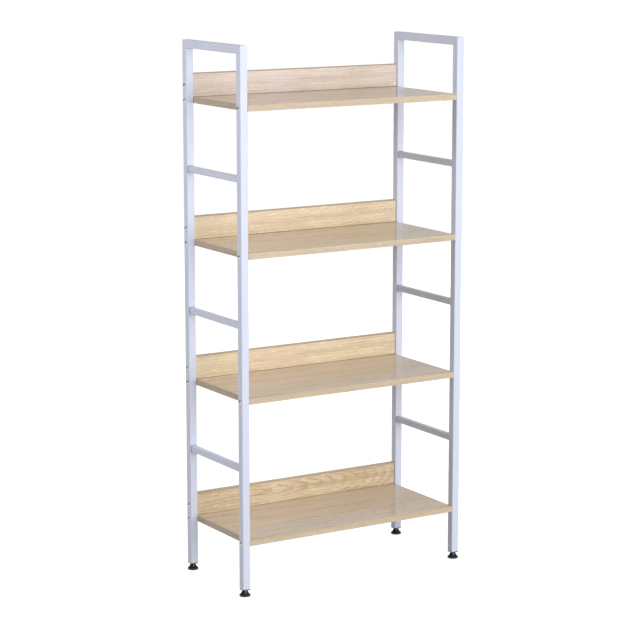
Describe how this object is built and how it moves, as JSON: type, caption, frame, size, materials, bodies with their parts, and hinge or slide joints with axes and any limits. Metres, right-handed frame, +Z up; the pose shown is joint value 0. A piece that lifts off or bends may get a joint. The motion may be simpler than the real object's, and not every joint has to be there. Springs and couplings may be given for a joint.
{
  "type": "ladder shelf",
  "caption": "Open shelf rack with ladder-like side frames in square tube, wood boards with low backboards, and screw-in levelling feet.",
  "frame": {"origin": "middle of the footprint, at floor level under the feet", "axes": "+Z up, +X to the right seen from the front, +Y to the rear, where the backboards are; the front is -Y"},
  "size_m": [0.6476, 0.2926, 1.34],
  "materials": {
    "white_steel": "satin white powder coat",
    "shelf_oak": "pale oak melamine, satin, grain along the shelf",
    "backboard_oak": "pale oak melamine, satin, grain along the board",
    "oak_band": "printed oak edge band, satin",
    "zinc_screw": "bright zinc",
    "zinc_stem": "bright zinc thread",
    "brass_bush": "turned brass",
    "black_plastic": "moulded black",
    "black_foot": "moulded gloss black"
  },
  "bodies": {
    "frame": {"left_front_upright": "white_steel", "left_rear_upright": "white_steel", "left_top_rail": "white_steel", "left_lower_rung": "white_steel", "left_middle_rung": "white_steel", "left_upper_rung": "white_steel", "right_front_upright": "white_steel", "right_rear_upright": "white_steel", "right_top_rail": "white_steel", "right_lower_rung": "white_steel", "right_middle_rung": "white_steel", "right_upper_rung": "white_steel", "shelf_bottom": "shelf_oak", "shelf_lower": "shelf_oak", "shelf_upper": "shelf_oak", "shelf_top": "shelf_oak", "backboard_bottom": "backboard_oak", "backboard_lower": "backboard_oak", "backboard_upper": "backboard_oak", "backboard_top": "backboard_oak", "shelf_front_bands": "oak_band", "shelf_rear_bands": "oak_band", "shelf_end_bands": "oak_band", "backboard_top_bands": "oak_band", "shelf_screws": "zinc_screw", "backboard_screws": "zinc_screw", "tube_plugs": "black_plastic", "plug_bushes": "brass_bush"},
    "front_left_stem": {"front_left_stem": "zinc_stem"},
    "front_left_foot": {"front_left_foot": "black_foot"},
    "front_right_stem": {"front_right_stem": "zinc_stem"},
    "front_right_foot": {"front_right_foot": "black_foot"},
    "rear_left_stem": {"rear_left_stem": "zinc_stem"},
    "rear_left_foot": {"rear_left_foot": "black_foot"},
    "rear_right_stem": {"rear_right_stem": "zinc_stem"},
    "rear_right_foot": {"rear_right_foot": "black_foot"}
  },
  "joints": [
    {"name": "front_left_lift", "type": "slide", "parent": "frame", "child": "front_left_stem", "axis": [0, 0, -1], "range_m": [0, 0.01]},
    {"name": "front_left_turn", "type": "hinge", "parent": "front_left_stem", "child": "front_left_foot", "pos_m": [-0.31, -0.1325, 0.01], "axis": [0, 0, -1], "range_deg": [0, 2880]},
    {"name": "front_right_lift", "type": "slide", "parent": "frame", "child": "front_right_stem", "axis": [0, 0, -1], "range_m": [0, 0.01]},
    {"name": "front_right_turn", "type": "hinge", "parent": "front_right_stem", "child": "front_right_foot", "pos_m": [0.31, -0.1325, 0.01], "axis": [0, 0, -1], "range_deg": [0, 2880]},
    {"name": "rear_left_lift", "type": "slide", "parent": "frame", "child": "rear_left_stem", "axis": [0, 0, -1], "range_m": [0, 0.01]},
    {"name": "rear_left_turn", "type": "hinge", "parent": "rear_left_stem", "child": "rear_left_foot", "pos_m": [-0.31, 0.1325, 0.01], "axis": [0, 0, -1], "range_deg": [0, 2880]},
    {"name": "rear_right_lift", "type": "slide", "parent": "frame", "child": "rear_right_stem", "axis": [0, 0, -1], "range_m": [0, 0.01]},
    {"name": "rear_right_turn", "type": "hinge", "parent": "rear_right_stem", "child": "rear_right_foot", "pos_m": [0.31, 0.1325, 0.01], "axis": [0, 0, -1], "range_deg": [0, 2880]}
  ],
  "couplings": [
    {"joint": "front_left_turn", "follows": "front_left_lift", "rad_per_m": 5026.5},
    {"joint": "front_right_turn", "follows": "front_right_lift", "rad_per_m": 5026.5},
    {"joint": "rear_left_turn", "follows": "rear_left_lift", "rad_per_m": 5026.5},
    {"joint": "rear_right_turn", "follows": "rear_right_lift", "rad_per_m": 5026.5}
  ]
}
